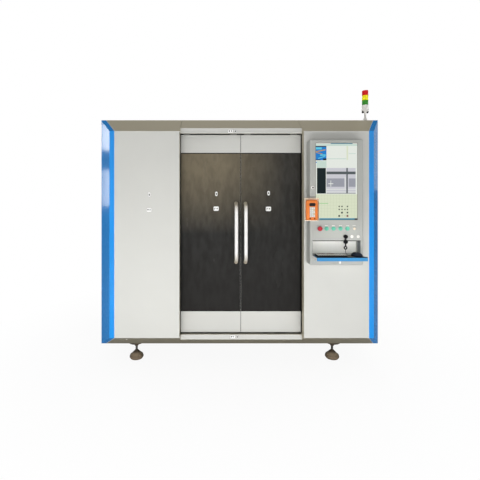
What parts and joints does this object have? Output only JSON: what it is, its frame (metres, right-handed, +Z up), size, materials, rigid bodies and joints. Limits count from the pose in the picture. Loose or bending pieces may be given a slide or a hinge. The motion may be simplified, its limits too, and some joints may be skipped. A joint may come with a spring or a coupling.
{
  "type": "fiber laser cutting machine",
  "caption": "Enclosed fiber laser sheet cutter with sliding windowed doors, blue chamfered nose, swing console with screen, buttons and folding tray, and a signal tower.",
  "frame": {"origin": "on the floor, under the centre of the overall box", "axes": "+X to the right seen from the front, +Y to the rear, +Z up; the doors face -Y"},
  "size_m": [2.57, 2.259, 2.5367],
  "materials": {
    "light_paint": "smooth satin powder coat",
    "taupe_paint": "smooth satin powder coat",
    "blue_paint": "glossy",
    "frame_paint": "satin",
    "dark_window": "polished, nearly opaque",
    "handle_steel": "brushed",
    "bright_steel": "machined",
    "dark_steel": "dark zinc plated",
    "white_plastic": "satin",
    "cream_plastic": "satin",
    "black_plastic": "fine texture",
    "screen": "lit screen",
    "red_plastic": "gloss",
    "green_plastic": "gloss, lit",
    "orange_rubber": "satin",
    "red_lens": "translucent",
    "yellow_lens": "translucent",
    "green_lens": "translucent",
    "lead_rubber": "matt"
  },
  "bodies": {
    "enclosure": {"base_frame": "frame_paint", "upper_frame": "frame_paint", "foot_front_left": "dark_steel", "foot_front_right": "dark_steel", "foot_rear_left": "dark_steel", "foot_rear_right": "dark_steel", "roof_panel": "light_paint", "left_side_panel": "light_paint", "right_side_panel": "light_paint", "rear_panel": "light_paint", "left_trim": "blue_paint", "right_trim": "blue_paint", "left_front_cover": "light_paint", "right_front_cover": "light_paint", "top_track_cover": "taupe_paint", "bottom_track_cover": "taupe_paint", "door_rail": "bright_steel", "door_guide": "dark_steel", "chamber_left_wall": "frame_paint", "chamber_right_wall": "frame_paint", "left_y_rail": "bright_steel", "right_y_rail": "bright_steel", "slat_table": "bright_steel", "tower_base": "white_plastic", "green_lens": "green_lens", "yellow_lens": "yellow_lens", "red_lens": "red_lens", "duct_collar": "bright_steel", "laser_source": "dark_steel", "electrical_cabinet": "light_paint"},
    "left_door_leaf": {"left_door": "light_paint", "left_window": "dark_window", "left_handle": "handle_steel"},
    "right_door_leaf": {"right_door": "light_paint", "right_window": "dark_window", "right_handle": "handle_steel"},
    "gantry": {"gantry_beam": "bright_steel"},
    "carriage": {"x_carriage": "dark_steel"},
    "head": {"z_slide": "white_plastic", "cutting_head": "bright_steel"},
    "drawer": {"scrap_drawer": "light_paint"},
    "console_box": {"console": "light_paint", "monitor": "screen", "button_plate": "white_plastic", "remote_holder": "cream_plastic", "remote": "orange_rubber", "lead_plug": "black_plastic", "mouse_lead": "lead_rubber"},
    "tray_leaf": {"tray": "blue_paint", "keyboard": "black_plastic", "mouse": "black_plastic"},
    "latch_knob": {"tray_latch": "white_plastic"},
    "emergency_stop": {"e_stop": "red_plastic"},
    "start_key": {"start_button": "green_plastic"},
    "servo_key": {"servo_button": "green_plastic"},
    "laser_key": {"laser_button": "green_plastic"},
    "light_key": {"light_button": "green_plastic"},
    "key_knob": {"key_switch": "cream_plastic"},
    "lock_barrel": {"console_lock": "bright_steel"}
  },
  "joints": [
    {"name": "left_door_slide", "type": "slide", "parent": "enclosure", "child": "left_door_leaf", "axis": [-1, 0, 0], "range_m": [0, 0.47]},
    {"name": "right_door_slide", "type": "slide", "parent": "enclosure", "child": "right_door_leaf", "axis": [1, 0, 0], "range_m": [0, 0.47]},
    {"name": "gantry_travel", "type": "slide", "parent": "enclosure", "child": "gantry", "axis": [0, -1, 0], "range_m": [0, 1.1]},
    {"name": "carriage_travel", "type": "slide", "parent": "gantry", "child": "carriage", "axis": [1, 0, 0], "range_m": [-0.45, 0.45]},
    {"name": "head_travel", "type": "slide", "parent": "carriage", "child": "head", "axis": [0, 0, 1], "range_m": [-0.06, 0.08]},
    {"name": "drawer_slide", "type": "slide", "parent": "enclosure", "child": "drawer", "axis": [0, 1, 0], "range_m": [0, 0.9]},
    {"name": "console_swing", "type": "hinge", "parent": "enclosure", "child": "console_box", "pos_m": [1.013, -0.9081, 0.96], "axis": [0, 0, 1], "range_deg": [0, 90]},
    {"name": "tray_fold", "type": "hinge", "parent": "console_box", "child": "tray_leaf", "pos_m": [0.7655, -1.0096, 1.0402], "axis": [-1, 0, 0], "range_deg": [0, 75], "deforming": ["mouse_lead"]},
    {"name": "tray_latch_turn", "type": "hinge", "parent": "tray_leaf", "child": "latch_knob", "pos_m": [0.765, -1.1135, 1.042], "axis": [0, 0, 1], "range_deg": [0, 90]},
    {"name": "emergency_stop_press", "type": "slide", "parent": "console_box", "child": "emergency_stop", "axis": [0, 1, 0], "range_m": [0, 0.005]},
    {"name": "start_press", "type": "slide", "parent": "console_box", "child": "start_key", "axis": [0, 1, 0], "range_m": [0, 0.003], "stiffness_N_per_m": 300, "springref_m": -0.002},
    {"name": "servo_press", "type": "slide", "parent": "console_box", "child": "servo_key", "axis": [0, 1, 0], "range_m": [0, 0.003], "stiffness_N_per_m": 300, "springref_m": -0.002},
    {"name": "laser_press", "type": "slide", "parent": "console_box", "child": "laser_key", "axis": [0, 1, 0], "range_m": [0, 0.003], "stiffness_N_per_m": 300, "springref_m": -0.002},
    {"name": "light_press", "type": "slide", "parent": "console_box", "child": "light_key", "axis": [0, 1, 0], "range_m": [0, 0.003], "stiffness_N_per_m": 300, "springref_m": -0.002},
    {"name": "key_turn", "type": "hinge", "parent": "console_box", "child": "key_knob", "pos_m": [0.923, -1.0078, 1.2655], "axis": [0, 1, 0], "range_deg": [0, 90]},
    {"name": "console_lock_turn", "type": "hinge", "parent": "console_box", "child": "lock_barrel", "pos_m": [0.581, -1.0055, 1.606], "axis": [0, 1, 0], "range_deg": [0, 90]}
  ]
}
